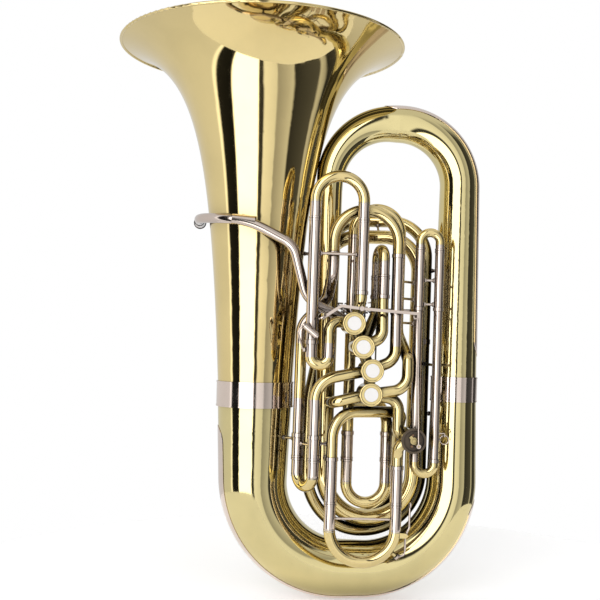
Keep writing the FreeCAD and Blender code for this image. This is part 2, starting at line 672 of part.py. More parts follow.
def thumb_link(bottom, top, y):
    """The fifth valve's link, with a short slot at the top that takes up the stop arm's swing."""
    body = link_rod(bottom, top, False, y)
    cuts = [link_bore(bottom, y)]
    for radius, low, high in ((4.3, y - 1.4, y + 1.4), (PIN_R + 0.8, y - 9, y + 9)):
        ends = [cylinder(radius, (x, low, top[1]), (x, high, top[1])) for x in (top[0], top[0] - THUMB_SLOT)]
        corner = at(top[0] - THUMB_SLOT, low, top[1] - radius)
        block = Part.makeBox(THUMB_SLOT, high - low, 2 * radius, corner)
        slot = block.fuse(ends)
        if radius > 4:
            body = body.fuse(slot)
        else:
            cuts.append(slot)
    return body.cut(Part.makeCompound(cuts))


def build_lever(number, pin_x, top_z):
    """A finger lever: hub on the hinge rod, front arm with its pin, rear arm with an oval touch."""
    front_x = FRONT_BAR_X[number]
    rear_x = TOUCH_X[number]
    y = LINK_Y[number]
    rise = HINGE_Z - top_z
    low_x = min(front_x, rear_x) - 1.6
    high_x = max(front_x, rear_x) + 1.6
    hub = cylinder(4.6, (low_x, 0, HINGE_Z), (high_x, 0, HINGE_Z))
    front = tube(((front_x, 0, HINGE_Z), (front_x, y, top_z)), 1.5, 0)
    rear_z = HINGE_Z + rise * TOUCH_Y / -y
    rear = tube(((rear_x, 0, HINGE_Z), (rear_x, TOUCH_Y, rear_z)), 1.7, 0)
    far_x = pin_x + PIN_REACH[number]
    pin = cylinder(PIN_R, (front_x, y, top_z), (far_x, y, top_z))
    touch = Part.makeBox(18, 14, 2.6, at(rear_x - 9, TOUCH_Y - 14, rear_z - 0.4))
    for end_y in (TOUCH_Y, TOUCH_Y - 14):
        touch = touch.fuse(cylinder(9.0, (rear_x, end_y, rear_z - 0.4), (rear_x, end_y, rear_z + 2.2)))
    lever = hub.fuse([front, rear, pin, touch])
    lever = lever.cut(cylinder(HINGE_R + RUNNING_FIT, (low_x - 9, 0, HINGE_Z), (high_x + 9, 0, HINGE_Z)))
    save(f"lever_{number + 1}", lever)


def on_pivot(radius, start, end):
    """A cylinder on the thumb lever's pivot line."""
    x, z = THUMB_PIVOT
    return cylinder(radius, (x, start, z), (x, end, z))


def build_thumb_lever():
    """The fifth valve's lever on the front, its link, and the stop arm that it turns."""
    rest = FIFTH_ARM_REST
    pin_x, pin_z = build_rotor(4, FIFTH_VALVE, -1, rest, FIFTH_ARM, -132.8)
    top_x, top_z = THUMB_LINE[-1]
    save("valve_link_5", thumb_link((pin_x, pin_z), (top_x, top_z), -131.0))
    bars = []
    half = 2.4
    for start, end in zip(THUMB_LINE[:-1], THUMB_LINE[1:]):
        along = at(end[0] - start[0], 0, end[1] - start[1]).normalize()
        side = at(-along.z, 0, along.x) * half
        a = at(start[0], THUMB_Y - 1.2, start[1])
        b = at(end[0], THUMB_Y - 1.2, end[1])
        outline = [a + side, b + side, b - side, a - side, a + side]
        bars.append(Part.Face(Part.makePolygon(outline)).extrude(at(0, 2.4, 0)))
        bars.append(cylinder(half, (end[0], THUMB_Y - 1.2, end[1]), (end[0], THUMB_Y + 1.2, end[1])))
    boss = on_pivot(4.4, THUMB_Y - 1.2, THUMB_Y + 1.2)
    pin = cylinder(PIN_R, (top_x, THUMB_Y, top_z), (top_x, -129.3, top_z))
    lever = bars[0].fuse(bars[1:] + [boss, pin])
    left = THUMB_LINE[0]
    touch = Part.makeCylinder(7.5, 2.0, at(left[0], THUMB_Y - 4.5, left[1] + 1.0), at(-0.55, 0, 0.83))
    save("lever_5", lever.fuse(touch).cut(on_pivot(2.0 + RUNNING_FIT, -150, -120)))


def build_levers():
    """Stop arms, links and levers for the four finger valves, then the rod that they turn on."""
    for number, centre in enumerate(VALVES):
        side = ARM_SIDES[number]
        angle = -45.0 if side > 0 else 225.0
        radius = STOP_ARMS[number]
        y = LINK_Y[number]
        pin_x, pin_z = build_rotor(number, centre, 1, angle, radius, y + 2.0)
        drop = radius * math.sin(math.radians(45))
        top_z = HINGE_Z - drop
        top_x = pin_x + LINK_TOP_X[number]
        link = finger_link((pin_x, pin_z), (top_x, top_z), LINK_TOP_X[number], y)
        save(f"valve_link_{number + 1}", link)
        build_lever(number, top_x, top_z)
    build_thumb_lever()

    rod = cylinder(HINGE_R, (-60, 0, HINGE_Z), (92, 0, HINGE_Z))
    ends = [tapered_bar(FIRST_BRANCH, (14.85, 23.05)), tapered_bar(INNER_ARCH, (10.75, 14.05))]
    rod = trimmed(rod, ends)
    pieces = [rod]
    for x in (-34.0, -7.0, 10.0, 33.0):
        for turn in range(4):
            pieces.append(Part.makeTorus(3.5, 0.6, at(x + 1.3 * turn, 0, HINGE_Z), X_AXIS))
    post = on_pivot(3.4, -122, THUMB_Y + 1.5)
    leg = tube(FIRST_LOOP[1], TUBE + 0.02, 0)
    cap_space = cylinder(CAP_R + 0.1, end_at(FIRST_V, -127), end_at(FIRST_V, -119))
    post = trimmed(post, [leg, casing_core(FIRST_V, 0.05), cap_space])
    screw = on_pivot(2.0, THUMB_Y + 1.5, THUMB_Y - 1.5)
    head = on_pivot(3.8, THUMB_Y - 1.5, THUMB_Y - 3.6)
    pieces.append(post.fuse([screw, head]))
    save("lever_rack", *pieces)


# ---- braces, ferrules, water keys --------------------------------------------------------------
def build_braces():
    """Braces between the tubes, each trimmed to the tubes that it joins."""
    legs = {name: SLIDES[name][:2] for name in SLIDES}
    outer = TUBE + LEG_PROUD + 0.02

    def leg_bar(leg, low, high, radius=outer):
        return cylinder(radius, (*leg, low), (*leg, high))

    first_left, first_right = legs["first_slide"]
    third_front, third_rear = legs["third_slide"]
    fifth_left, fifth_right = legs["fifth_slide"]
    fifth_r = FIFTH_TUBE + LEG_PROUD + 0.02
    limb = tapered_bar(FIRST_BRANCH, (14.82, 23.02))
    bell = placed_on_bell(bell_solid(-0.02))
    bow_left, bow_right = bow_bar(BOTTOM_BOW, BOW_RADII, 0.02)
    branch = bow_bar(TOP_BOW, TOP_RADII, 0.02)[1]
    inner = tapered_bar(INNER_ARCH, (10.72, 14.02))
    outside = tube(OUTER_ARCH, 10.72, 0)
    fourth = tube(FOURTH_LOOP[0], TUBE + 0.02, 0)
    third = tube(THIRD_LOOP[0], TUBE + 0.02, 0)
    pipe = tube(LEADPIPE, LEADPIPE_R + 0.02, 0)
    rods = []

    def rod(start, end, radius, others):
        rods.append(trimmed(cylinder(radius, start, end), others))

    rod((*first_left, 602), (*first_right, 602), 2.4,
        [leg_bar(first_left, 560, 640), leg_bar(first_right, 560, 640)])
    rod((*third_front, 279), (*third_rear, 279), 2.2,
        [leg_bar(third_front, 260, 300), leg_bar(third_rear, 260, 300)])
    rod((*third_front, 283), (*MAIN_LEFT, 283), 2.2,
        [leg_bar(third_front, 260, 300), tube(RETURN_ARCH, TUBE + 0.02, 0)])
    rod((*third_rear, 286), (-182, 0, 286), 2.4, [leg_bar(third_rear, 260, 310), bow_left])
    for z in (565, 524):
        rod((*fifth_left, z), (*fifth_right, z), 2.0,
            [leg_bar(fifth_left, 500, 600, fifth_r), leg_bar(fifth_right, 500, 600, fifth_r)])
    rod((*fifth_right, 420), (*OUTER_LEG, 420), 2.4,
        [leg_bar(fifth_right, 400, 440, FIFTH_TUBE + 0.02), outside])
    for z in (565, 535, 492):
        rod((54, -40, z), (*RIGHT_LEG, z), 2.2, [fourth, inner])
    rod((41, VALVE_Y, 590), (54, -40, 590), 2.2, [third, fourth])
    rod((-69, 0, 610), (-195, 0, 610), 3.0, [limb, bell])
    rod((-70, 0, 700), (-195, 0, 700), 3.0, [limb, bell])
    rod((*OUTER_LEG, 590), (BRANCH_X, 0, 590), 3.0, [outside, branch])
    rod((*OUTER_LEG, 330), (BRANCH_X, 0, 330), 3.0, [outside, bow_right])
    rod((25, 15.0, 647), (25, 43.0, 679), 2.0, [inner, outside])
    rod((*MAIN_LEFT, 250), (LIMB_X, 0, 250), 2.4, [leg_bar(MAIN_LEFT, 240, 270), limb])
    rod((-200, -110, 648), (-200, 0, 640), 3.2, [pipe, bell])
    save("braces", *rods)


def build_ferrules():
    """Rings over the joints between straight tubes."""
    rings = []

    def ring(x, y, z, radius, length=6.0):
        rings.append(cylinder(radius + 1.1, (x, y, z - length / 2), (x, y, z + length / 2), radius + 0.03))

    leg_r = TUBE + LEG_PROUD
    ring(-104.5, -118, 453.0, leg_r)
    ring(-23, -118, 538.0, leg_r)
    ring(17, -98, 534.0, leg_r)
    ring(11, -66, 534.0, leg_r)
    ring(41, VALVE_Y, 507.0, TUBE)
    ring(41, VALVE_Y, 604.0, TUBE)
    ring(-69.5, VALVE_Y, 604.0, TUBE)
    ring(-92.5, -98, 293.0, leg_r)
    ring(-116.5, -60, 293.0, leg_r)
    ring(-28.5, -40, 297.0, leg_r)
    ring(40, -40, 297.0, leg_r)
    ring(*MAIN_LEFT, 258.0, leg_r)
    ring(*MAIN_RIGHT, 246.0, leg_r)
    ring(80, -92, 516.0, FIFTH_TUBE + LEG_PROUD)
    ring(114, -92, 516.0, FIFTH_TUBE + LEG_PROUD)
    ring(114, -92, 258.0, FIFTH_TUBE)
    ring(54, -40, 640.0, TUBE)
    ring(-28.5, -40, 640.0, TUBE)
    ring(OUTER_LEG[0], OUTER_LEG[1], COIL_Z + 2, 10.7, 9.0)
    ring(OUTER_LEG[0], OUTER_LEG[1], 460.0, 10.7, 9.0)
    save("tube_ferrules", *rings)


KEY_PIVOT = (MAIN_RIGHT[0] + 17.5, MAIN_RIGHT[1], 133.0)


def build_main_key():
    """The water key of the main slide."""
    pivot = at(*KEY_PIVOT)
    key = tube(((73.5, -100, 186), (73.5, -100, 146, 10.0), (67.0, -100, 133, 16.0), (67.0, -100, 101, 6.0),
                (54.0, -100, 96.5)), 1.8, 0)
    key = key.fuse(Part.makeCylinder(4.0, 8.0, pivot - at(0, 4, 0), Y_AXIS))
    key = key.fuse(Part.makeCylinder(5.5, 3.6, at(55.4, -100, 96.3), at(0.8, 0, -0.6) * -1))
    key = key.fuse(Part.makeCylinder(5.0, 2.4, at(72.7, -100, 184.0), at(1, 0, 0)))
    key = key.cut(Part.makeCylinder(1.55, 40, pivot - at(0, 20, 0), Y_AXIS))
    save("main_water_key", key)


def main_key_saddle():
    """The two ears on the main slide that carry its water key."""
    main_x = MAIN_RIGHT[0]
    pivot = at(*KEY_PIVOT)
    leg = cylinder(TUBE + 0.05, (main_x, -100, 110), (main_x, -100, 170))
    ears = []
    for y in (-107.2, -95.2):
        outline = ((6, 129), (6, 138), (18, 137), (21.5, 133), (18, 129))
        ears.append(slab([(main_x + x, z) for x, z in outline], y, y + 2.4))
    pin = Part.makeCylinder(1.5, 14.4, pivot - at(0, 7.2, 0), Y_AXIS)
    saddle = ears[0].fuse([ears[1], pin])
    left, right, bow_z = SLIDES["main_tuning_slide"][:3]
    middle = at((left[0] + right[0]) / 2, MAIN_RIGHT[1], bow_z)
    radius = (right[0] - left[0]) / 2 + TUBE
    out = at(0.8, 0, -0.6)
    nipple = Part.makeCylinder(3.4, 6.6, middle + out * (radius - 0.3), out)
    nipple = nipple.cut(Part.makeCylinder(1.5, 9.0, middle + out * (radius - 1.0), out))
    return Part.makeCompound([trimmed(saddle, [leg]), nipple])


def build_small_fittings():
    """The first slide's water key on its saddle, and the pull ring on its eyelet."""
    centre = at(-107.5, -135.0, 472.0)
    axis = at(0.78, 0, -0.626).normalize()

    def along_axis(radius, start, end):
        return Part.makeCylinder(radius, end - start, centre + axis * start, axis)

    hub = centre - axis * 15.4
    arm = tube(((hub.x, hub.y, hub.z), (-129, -133, 470, 10.0), (-119, -121, 441)), 1.6, 0)
    pad = Part.makeCylinder(4.2, 3.6, at(-115.0, -119.5, 440), at(-1, 0, 0))
    moving = along_axis(1.8, -17.4, 15.6)
    ends = [along_axis(3.4, -17.4, -13.4), along_axis(3.6, 13.4, 15.6)]
    save("first_water_key", moving.fuse(ends + [arm, pad]))
    post = cylinder(3.4, tuple(centre), (-104.5, -118, 472))
    barrel = along_axis(5.6, -13.0, 13.0).fuse(post).cut(along_axis(1.8 + RUNNING_FIT, -30.0, 30.0))
    leg = cylinder(TUBE + LEG_PROUD + 0.02, (-104.5, -118, 400), (-104.5, -118, 560))
    barrel = trimmed(barrel, [leg])

    eyelet_at = at(131.0, -92, 301.5)
    save("pull_ring", Part.makeTorus(7.5, 1.0, eyelet_at - at(0, 0, 7.5), Y_AXIS))
    eyelet = Part.makeCylinder(3.3, 1.8, eyelet_at - at(0.9, 0, 0), X_AXIS)
    eyelet = eyelet.cut(Part.makeCylinder(1.5, 9.0, eyelet_at - at(4.5, 0, 0), X_AXIS))
    stem = cylinder(1.2, (116, -92, 304.6), (131.4, -92, 304.6))
    stem = trimmed(stem, [cylinder(FIFTH_TUBE + 0.02, (114, -92, 280), (114, -92, 320))])
    save("key_and_ring_saddles", barrel, stem.fuse(eyelet))


build_bell()
build_bows()
build_coil()
build_slides()
build_tubing()
build_valves()
build_levers()
build_braces()
build_ferrules()
build_main_key()
build_small_fittings()
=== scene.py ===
import json
import math

import bmesh
import bpy
from mathutils import Matrix, Vector


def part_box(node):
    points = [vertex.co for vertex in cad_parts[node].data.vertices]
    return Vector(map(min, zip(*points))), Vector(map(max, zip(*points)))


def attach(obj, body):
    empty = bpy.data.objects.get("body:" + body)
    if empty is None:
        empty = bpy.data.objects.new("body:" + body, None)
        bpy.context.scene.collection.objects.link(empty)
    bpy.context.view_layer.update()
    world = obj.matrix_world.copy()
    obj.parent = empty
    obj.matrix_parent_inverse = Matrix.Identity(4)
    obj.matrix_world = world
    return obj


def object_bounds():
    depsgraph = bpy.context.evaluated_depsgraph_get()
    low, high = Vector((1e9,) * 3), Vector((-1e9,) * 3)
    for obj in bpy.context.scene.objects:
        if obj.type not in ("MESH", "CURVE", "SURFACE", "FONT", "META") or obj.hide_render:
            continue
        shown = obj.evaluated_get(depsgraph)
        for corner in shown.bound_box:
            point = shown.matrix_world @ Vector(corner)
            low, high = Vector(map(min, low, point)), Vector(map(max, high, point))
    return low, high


# Looks for the tuba: metals, fittings, studio and camera, in metres in the CAD frame.
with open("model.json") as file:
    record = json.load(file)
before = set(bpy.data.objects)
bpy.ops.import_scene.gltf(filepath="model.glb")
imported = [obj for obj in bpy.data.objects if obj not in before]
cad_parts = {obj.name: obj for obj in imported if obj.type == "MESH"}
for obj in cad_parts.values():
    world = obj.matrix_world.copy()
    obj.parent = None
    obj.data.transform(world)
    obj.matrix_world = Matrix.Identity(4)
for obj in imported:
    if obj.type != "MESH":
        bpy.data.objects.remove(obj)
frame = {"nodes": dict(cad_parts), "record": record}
cad_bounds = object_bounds()
nodes = frame["nodes"]

# colours, as linear red, green and blue
BRASS = (0.76, 0.61, 0.29)
BOW_BRASS = (0.70, 0.60, 0.30)
NICKEL = (0.62, 0.525, 0.46)
STEEL = (0.62, 0.60, 0.58)
CAP_DISC = (0.86, 0.84, 0.82)
DARK_PLATE = (0.11, 0.085, 0.06)
CORK = (0.10, 0.055, 0.028)
WHITE = (1.0, 1.0, 1.0)

# finishes, with lengths in metres
FINISH_EDGE = 0.0003         # how softly one finish meets the next
SATIN = 0.3                  # roughness that the satin discs add
# painted shade: an ambient occlusion node darkens the metal's colour where other tubes crowd near it
PAINTED_SHADE_REACH = 0.06         # how far off a neighbouring tube still darkens the metal with painted shade
PAINTED_SHADE_SAMPLES = 8
PAINTED_SHADE_TONE = 0.05          # the darkest painted shade, as a share of the metal's colour
SPECK_TONE = 0.72            # the specks' share of the metal's colour
CAP_DISC_RADIUS = 0.01155
DARK_PLATE_RADIUS = 0.024

# small fittings, in metres; a disc is its (radius, height)
FOOT_PLATE = (0.0042, 0.0018)
FOOT_COLLAR = (0.0032, 0.0018)
FOOT_PLATE_INSET = 0.0022    # from the brace's end
FOOT_COLLAR_INSET = 0.0040
ROD_END = 0.006              # the stretch of a rod that is taken as its end
TUBE_RADIUS = 0.0098
FIFTH_TUBE_RADIUS = 0.0077
MIDDLE_HEIGHT = 0.45         # slides banded above this height open downwards, the others upwards
END_TOLERANCE = 0.0002       # how near a slide's end its points are taken as the end
BEAD_LIFT = 0.0014           # each bead's distance from where the metals meet
SCREW = (0.0013, 0.0007)
SCREW_CIRCLE = 0.0167
SCREW_SINK = 0.0001
NUT = (0.0024, 0.0028)
NUT_DROP = 0.0118            # below the top of the link
LINK_EYE = 0.006             # how far below a link's top its upper eye reaches

# studio, in metres and degrees
FLOOR_RADIUS = 0.8
FLOOR_GAP = 0.0004
FLOOR_GLOW = 0.3
CAMERA_PLACE = (-0.25226, -1.72447, 0.45855)
CAMERA_AZIMUTH, CAMERA_ELEVATION, CAMERA_ROLL = -4.5, -2.2, 2.0
CAMERA_LENS = 58.08          # millimetres
CAMERA_SENSOR = 36.0         # millimetres


# ---- materials ---------------------------------------------------------------------------------
def set_sockets(node, **sockets):
    """Sets sockets by name, with _ for a space."""
    for name, value in sockets.items():
        node.inputs[name.replace("_", " ")].default_value = value


class Graph:
    """Small helper for building a node tree, of a material or of the world."""

    def __init__(self, tree):
        self.tree = tree

    def add(self, kind, **sockets):
        node = self.tree.nodes.new(kind)
        set_sockets(node, **sockets)
        return node

    def link(self, source, target):
        self.tree.links.new(source, target)

    def feed(self, socket, value):
        """Gives a socket a number or a colour, or links another node's output to it."""
        if isinstance(value, (int, float)):
            socket.default_value = value
        elif isinstance(value, tuple):
            socket.default_value = (*value, 1.0)
        else:
            self.link(value, socket)

    def place(self):
        return self.add("ShaderNodeTexCoord").outputs["Object"]

    def split(self, vector):
        parts = self.add("ShaderNodeSeparateXYZ")
        self.link(vector, parts.inputs[0])
        return parts.outputs

    def noise(self, scale, detail=4.0, rough=0.55):
        texture = self.add("ShaderNodeTexNoise", Scale=scale, Detail=detail, Roughness=rough)
        self.link(self.place(), texture.inputs["Vector"])
        return texture.outputs["Fac"]

    def ranged(self, source, low, high, to_low, to_high):
        node = self.add("ShaderNodeMapRange")
        node.interpolation_type = "SMOOTHSTEP"
        for index, value in enumerate((low, high, to_low, to_high)):
            node.inputs[index + 1].default_value = value
        self.link(source, node.inputs[0])
        return node.outputs[0]

    def maths(self, kind, first, second):
        node = self.add("ShaderNodeMath")
        node.operation = kind
        self.feed(node.inputs[0], first)
        self.feed(node.inputs[1], second)
        return node.outputs[0]

    def blend(self, factor, first, second):
        """Mixes two colours."""
        node = self.add("ShaderNodeMix")
        node.data_type = "RGBA"
        self.link(factor, node.inputs[0])
        self.feed(node.inputs[6], first)
        self.feed(node.inputs[7], second)
        return node.outputs[2]

    def fade(self, factor, first, second):
        """Mixes two numbers."""
        node = self.add("ShaderNodeMix")
        self.link(factor, node.inputs[0])
        self.feed(node.inputs[2], first)
        self.feed(node.inputs[3], second)
        return node.outputs[0]


class Finish(Graph):
    """A new material, with its shader."""

    def __init__(self, name):
        self.material = bpy.data.materials.new(name)
        self.material.use_nodes = True
        super().__init__(self.material.node_tree)
        self.shader = self.tree.nodes["Principled BSDF"]

    def bump(self, height, strength, distance):
        node = self.add("ShaderNodeBump", Strength=strength, Distance=distance)
        self.link(height, node.inputs["Height"])
        self.link(node.outputs["Normal"], self.shader.inputs["Normal"])


def toned(colour, scale):
    return tuple(channel * scale for channel in colour)


def disc_mask(g, place, centre, radius):
    """1 within radius of a line along Y through centre, an (x, z) pair, and 0 beyond it."""
    flat = g.add("ShaderNodeCombineXYZ")
    g.link(place[0], flat.inputs[0])
    g.link(place[2], flat.inputs[2])
    span = g.add("ShaderNodeVectorMath")
    span.operation = "DISTANCE"
    g.link(flat.outputs[0], span.inputs[0])
    span.inputs[1].default_value = (centre[0], 0.0, centre[1])
    return g.ranged(span.outputs["Value"], radius, radius + FINISH_EDGE, 1.0, 0.0)


def metal(name, colour, rough, stain=0.12, coat=0.08, zones=(), discs=(), shade=1.0):
    """Polished metal with faint handling marks, and painted shade darkening its colour where the tubes
    crowd together.

    zones are (low, high, colour) bands of height; discs are satin, each (centre, radius, colour) about a
    line along Y. stain is the strength of the marks, and shade that of the painted shade.
    """
    g = Finish(name)
    cloud = g.ranged(g.noise(9.0), 0.35, 0.75, 0.0, 1.0)
    base = g.blend(cloud, colour, toned(colour, 1.0 - stain))
    place = g.split(g.place())
    for low, high, other in zones:
        above = g.ranged(place[2], low - FINISH_EDGE, low + FINISH_EDGE, 0.0, 1.0)
        below = g.ranged(place[2], high - FINISH_EDGE, high + FINISH_EDGE, 1.0, 0.0)
        base = g.blend(g.maths("MULTIPLY", above, below), base, other)
    satin = 0.0
    for centre, radius, other in discs:
        near = disc_mask(g, place, centre, radius)
        base = g.blend(near, base, other)
        satin = g.maths("ADD", satin, g.maths("MULTIPLY", near, SATIN))
    # painted shade: an ambient occlusion node darkens the base colour where other tubes come near
    if shade:
        crowd = g.add("ShaderNodeAmbientOcclusion", Distance=PAINTED_SHADE_REACH)
        crowd.samples = PAINTED_SHADE_SAMPLES
        painted_shade = g.ranged(crowd.outputs["AO"], 0.35, 0.95, shade, 0.0)
        base = g.blend(painted_shade, base, toned(colour, PAINTED_SHADE_TONE))
    speck = g.ranged(g.noise(420.0, 2.0), 0.66, 0.78, 0.0, 0.35)
    g.link(g.blend(speck, base, toned(colour, SPECK_TONE)), g.shader.inputs["Base Color"])
    wear = g.ranged(g.noise(55.0, 6.0), 0.3, 0.8, rough, rough * 2.0)
    g.link(g.maths("ADD", wear, satin), g.shader.inputs["Roughness"])
    g.bump(g.noise(38.0, 3.0), 0.02, 0.0005)
    set_sockets(g.shader, Metallic=1.0, Coat_Weight=coat, Coat_Roughness=0.03)
    return g.material


def cork_material():
    g = Finish("cork")
    grain = g.ranged(g.noise(900.0, 5.0), 0.3, 0.7, 0.0, 1.0)
    g.link(g.blend(grain, CORK, toned(CORK, 2.2)), g.shader.inputs["Base Color"])
    g.bump(grain, 0.5, 0.0003)
    set_sockets(g.shader, Roughness=0.85)
    return g.material


# shade= sets how strongly each metal gets painted shade between crowded tubes
brass = metal("lacquered_brass", BRASS, 0.045)
bell_brass = metal("bell_brass", toned(BRASS, 1.02), 0.035, stain=0.08, shade=0.35)
bow_brass = metal("bow_brass", BOW_BRASS, 0.04, stain=0.1, shade=0.35)
nickel = metal("nickel_silver", NICKEL, 0.07)
sheet_nickel = metal("sheet_nickel", toned(NICKEL, 1.2), 0.07, shade=0.0)
steel = metal("steel_fittings", STEEL, 0.12, stain=0.2, coat=0.0)
dull_brass = metal("rotor_brass", toned(BRASS, 0.8), 0.22, stain=0.25, coat=0.0)
cork = cork_material()

# node: its bands of nickel silver between two heights; the rest of the node is brass
NICKEL_BANDS = {
    "main_tuning_slide": ((0.1373, 0.3983),),
    "third_slide": ((0.2233, 0.3983),),
    "fourth_slide": ((0.2103, 0.3983),),
    "first_slide": ((0.4983, 0.6863),),
    "second_slide": ((0.4983, 0.5923),),
    "fifth_slide": ((0.4983, 0.6243),),
    "fifth_valve_tubes": ((0.2543, 0.5983),),
    "third_valve_tubes": ((0.2943, 0.3543), (0.4483, 0.6023)),
    "fourth_valve_tubes": ((0.4783, 0.6383),),
    "first_valve_tubes": ((0.4263, 0.4503),),
}


def dress(node, material):
    slots = nodes[node].data.materials
    for index in range(len(slots)):
        slots[index] = material
    if not len(slots):
        slots.append(material)


by_slot = {
    "lacquered_brass": brass, "nickel_silver": nickel, "slide_metal": brass,
    "cap_metal": brass, "rotor_brass": dull_brass, "cork": cork,
}
for part in frame["record"]["subparts"]:
    dress(part["node"], by_slot[part["material_slot"]])
dress("bell", bell_brass)
for node in ("bottom_bow", "top_bow"):
    dress(node, bow_brass)
for node in ("bottom_bow_guard", "top_bow_guard", "bow_ferrules"):
    dress(node, sheet_nickel)
for node, bands in NICKEL_BANDS.items():
    dress(node, metal(node, BRASS, 0.05, zones=[(low, high, NICKEL) for low, high in bands]))
joints = frame["record"]["behaviour"]["joints"]
axles = [Vector(joint["pos_m"]) for joint in joints if joint["name"].startswith("rotor_")]
cap_discs = [((axle.x, axle.z), CAP_DISC_RADIUS, CAP_DISC) for axle in axles]
dark_plate = ((axles[4].x, axles[4].z), DARK_PLATE_RADIUS, DARK_PLATE)
dress("bearing_plates", metal("bearing_plates", NICKEL, 0.12, discs=[dark_plate]))
dress("valve_caps", metal("valve_caps", BRASS, 0.05, discs=cap_discs, shade=0.5))


# ---- small fittings ----------------------------------------------------------------------------
class Turned:
    """Collects turned pieces, each a profile of (radius, height) steps about an axis, into one mesh."""

    def __init__(self):
        self.mesh = bmesh.new()

    def add(self, centre, axis, profile, sides=40):
        turn = Vector(axis).normalized().to_track_quat("Z", "Y").to_matrix()
        rings = []
        for radius, height in profile:
            ring = []
            for i in range(sides):
                angle = i * math.tau / sides
                spot = Vector((radius * math.cos(angle), radius * math.sin(angle), height))
                ring.append(self.mesh.verts.new(Vector(centre) + turn @ spot))
            rings.append(ring)
        for low, high in zip(rings, rings[1:]):
            for i in range(sides):
                j = (i + 1) % sides
                self.mesh.faces.new((low[i], low[j], high[j], high[i]))
        if profile[0] != profile[-1]:
            self.mesh.faces.new(rings[0][::-1])
            self.mesh.faces.new(rings[-1])

    def finish(self, name, material, body):
        data = bpy.data.meshes.new(name)
        bmesh.ops.remove_doubles(self.mesh, verts=self.mesh.verts, dist=1e-7)
        bmesh.ops.recalc_face_normals(self.mesh, faces=self.mesh.faces)
        self.mesh.to_mesh(data)
        data.materials.append(material)
        data.polygons.foreach_set("use_smooth", [True] * len(data.polygons))
        data.set_sharp_from_angle(angle=math.radians(35))
        piece = bpy.data.objects.new(name, data)
        bpy.context.collection.objects.link(piece)
        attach(piece, body)


def islands(node):
    """The separate solids of a CAD node, each as a list of its points."""
    mesh = nodes[node].data
    key = [tuple(round(c, 6) for c in vertex.co) for vertex in mesh.vertices]
    owner = {point: point for point in key}

    def root(point):
        while owner[point] != point:
            owner[point] = owner[owner[point]]
            point = owner[point]
        return point

    for edge in mesh.edges:
        a, b = (root(key[index]) for index in edge.vertices)
        owner[a] = b
    groups = {}
    for point in owner:
        groups.setdefault(root(point), []).append(Vector(point))
    return list(groups.values())


def rod_ends(points):
    """The middle of each end of a straight rod, from its points."""
    centre = sum(points, Vector()) / len(points)
    far = max(points, key=lambda point: (point - centre).length)
    axis = (far - centre).normalized()
    ends = []
    for sign in (1, -1):
        reach = max(sign * (point - centre).dot(axis) for point in points)
        near = [point for point in points if sign * (point - centre).dot(axis) > reach - ROD_END]
        ends.append(sum(near, Vector()) / len(near))
    return ends, (ends[0] - ends[1]).normalized()


def disc_profile(radius, height):
    """A flat turned disc with eased edges."""
    ease = min(radius, height) * 0.25
    return ((radius - ease, 0.0), (radius, ease), (radius, height - ease), (radius - ease, height))


def fit_brace_feet():
    """Round feet where each brace meets its tubes."""
    feet = Turned()
    for points in islands("braces"):
        ends, axis = rod_ends(points)
        for end, sign in zip(ends, (1, -1)):
            out = axis * sign
            feet.add(end - out * FOOT_PLATE_INSET, out, disc_profile(*FOOT_PLATE), 32)
            feet.add(end - out * FOOT_COLLAR_INSET, out, disc_profile(*FOOT_COLLAR), 32)
    feet.finish("brace_feet", nickel, "body")


def leg_centres(node, height):
    """Centres of a slide's two open ends, from the points at that height."""
    points = [v.co for v in nodes[node].data.vertices if abs(v.co.z - height) < END_TOLERANCE]
    middle = sum(points, Vector()) / len(points)
    far = max(points, key=lambda point: (point - middle).length) - middle
    sides = [[p for p in points if (p - middle).dot(far) * sign > 0] for sign in (1, -1)]
    centres = []
    for side in sides:
        low = Vector((min(p.x for p in side), min(p.y for p in side), height))
        high = Vector((max(p.x for p in side), max(p.y for p in side), height))
        centres.append((low + high) / 2)
    return centres


def bead_profile(radius):
    """A low rounded ring on a tube of this radius."""
    inner, outer = radius - 0.0001, radius + 0.0003
    return (inner, -0.0004), (outer, -0.00025), (outer, 0.00025), (inner, 0.0004)


def fit_seams():
    """A fine bead at each brass to nickel joint of the slides."""
    for node, bands in NICKEL_BANDS.items():
        if not node.endswith("slide"):
            continue
        low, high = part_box(node)
        opens_down = bands[0][0] > MIDDLE_HEIGHT
        legs = leg_centres(node, low.z if opens_down else high.z)
        seam = bands[0][1] if opens_down else bands[0][0]
        profile = bead_profile(FIFTH_TUBE_RADIUS if node == "fifth_slide" else TUBE_RADIUS)
        beads = Turned()
        for leg in legs:
            for lift in (-BEAD_LIFT, BEAD_LIFT):
                beads.add((leg.x, leg.y, seam + lift), (0, 0, 1), profile)
        beads.finish(node + "_beads", steel, node)


def fit_plate_screws():
    """Three screws in each rear bearing plate, clear of the stop arm."""
    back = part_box("bearing_plates")[1].y
    screws = Turned()
    for axle in axles[:4]:
        for angle in map(math.radians, (90, 210, 330)):
            x = axle.x + SCREW_CIRCLE * math.cos(angle)
            z = axle.z + SCREW_CIRCLE * math.sin(angle)
            screws.add((x, back - SCREW_SINK, z), (0, 1, 0), disc_profile(*SCREW), 20)
    screws.finish("plate_screws", steel, "body")


def fit_link_nuts():
    """A lock nut below the upper eye of each finger link."""
    for number in range(1, 5):
        node = f"valve_link_{number}"
        low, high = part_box(node)
        top = [v.co for v in nodes[node].data.vertices if v.co.z > high.z - LINK_EYE]
        x = (min(p.x for p in top) + max(p.x for p in top)) / 2
        y = (low.y + high.y) / 2
        nut = Turned()
        nut.add((x, y, high.z - NUT_DROP), (0, 0, 1), disc_profile(*NUT), 6)
        nut.finish(node + "_nut", steel, node)


fit_brace_feet()
fit_seams()
fit_plate_screws()
fit_link_nuts()


